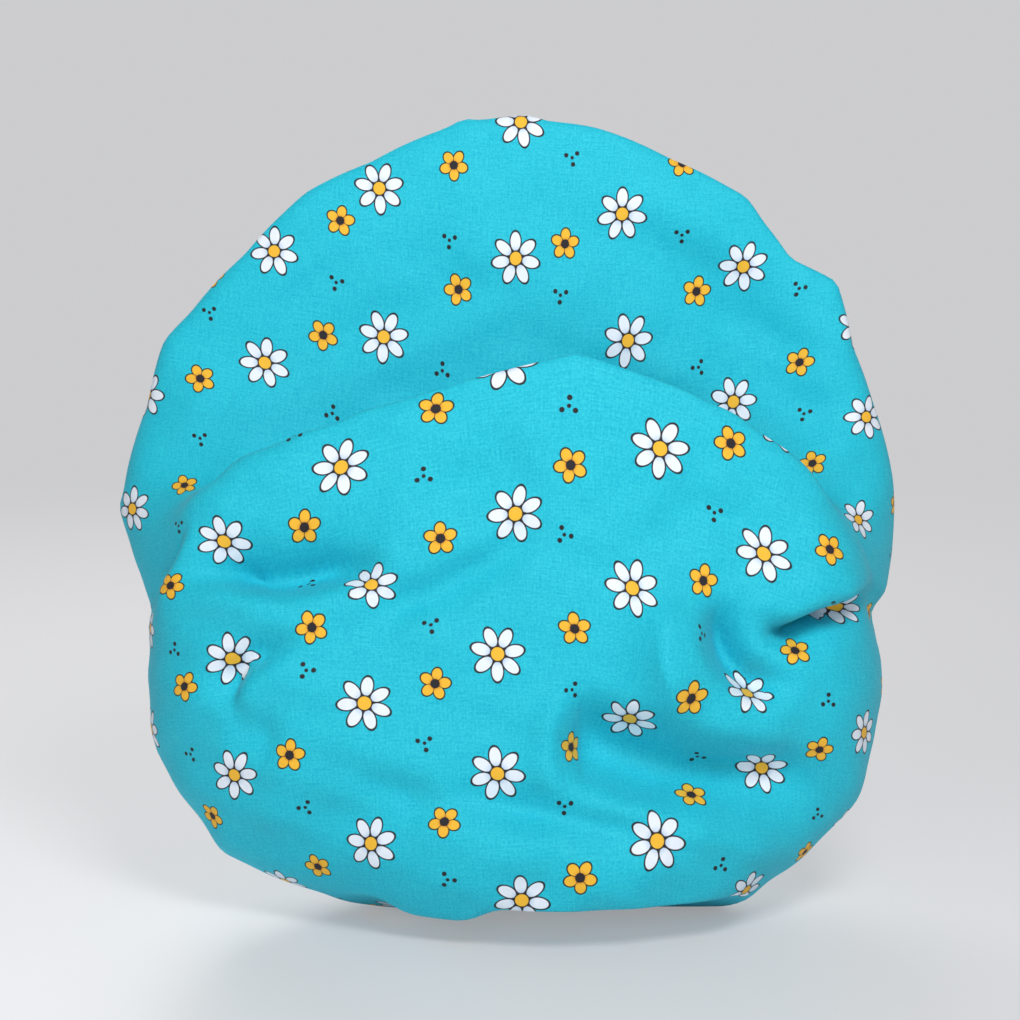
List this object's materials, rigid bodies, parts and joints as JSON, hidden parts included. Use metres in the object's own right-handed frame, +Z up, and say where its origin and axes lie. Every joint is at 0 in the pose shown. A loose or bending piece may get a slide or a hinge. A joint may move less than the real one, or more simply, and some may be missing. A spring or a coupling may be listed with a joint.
{
  "type": "shower cap",
  "caption": "Soft round shower cap of printed cotton with a waterproof lining, its rim gathered by elastic in a bound edge; it stands on its edge with the crown drooping forwards.",
  "frame": {"origin": "on the table, under the middle of the cap's box", "axes": "+Z up; +Y towards the gathered opening, so the crown faces -Y; +X to the right seen from the crown side"},
  "size_m": [0.296, 0.1316, 0.3135],
  "materials": {
    "printed_cotton": "matte plain weave with a small scattered print",
    "coated_lining": "smooth waterproof coating, soft sheen",
    "binding_tape": "matte plain weave",
    "elastic": "woven cover, matte",
    "thread": "spun polyester, slight sheen",
    "label_satin": "satin ribbon"
  },
  "bodies": {
    "crown": {"outer_shell": "printed_cotton", "waterproof_lining": "coated_lining"},
    "rim": {"edge_binding": "binding_tape", "elastic_band": "elastic", "elastic_join_stitches": "thread", "binding_needle_thread": "thread", "binding_bobbin_thread": "thread"},
    "label": {"care_label": "label_satin"}
  },
  "joints": [
    {"name": "rim_draw", "type": "slide", "parent": "crown", "child": "rim", "axis": [0, 1, 0], "range_m": [-0.02, 0.04], "deforming": ["outer_shell", "waterproof_lining"]},
    {"name": "label_swing", "type": "hinge", "parent": "rim", "child": "label", "pos_m": [0, 0.06152, 0.0658], "axis": [1, 0, 0], "range_deg": [-70, 0]}
  ]
}
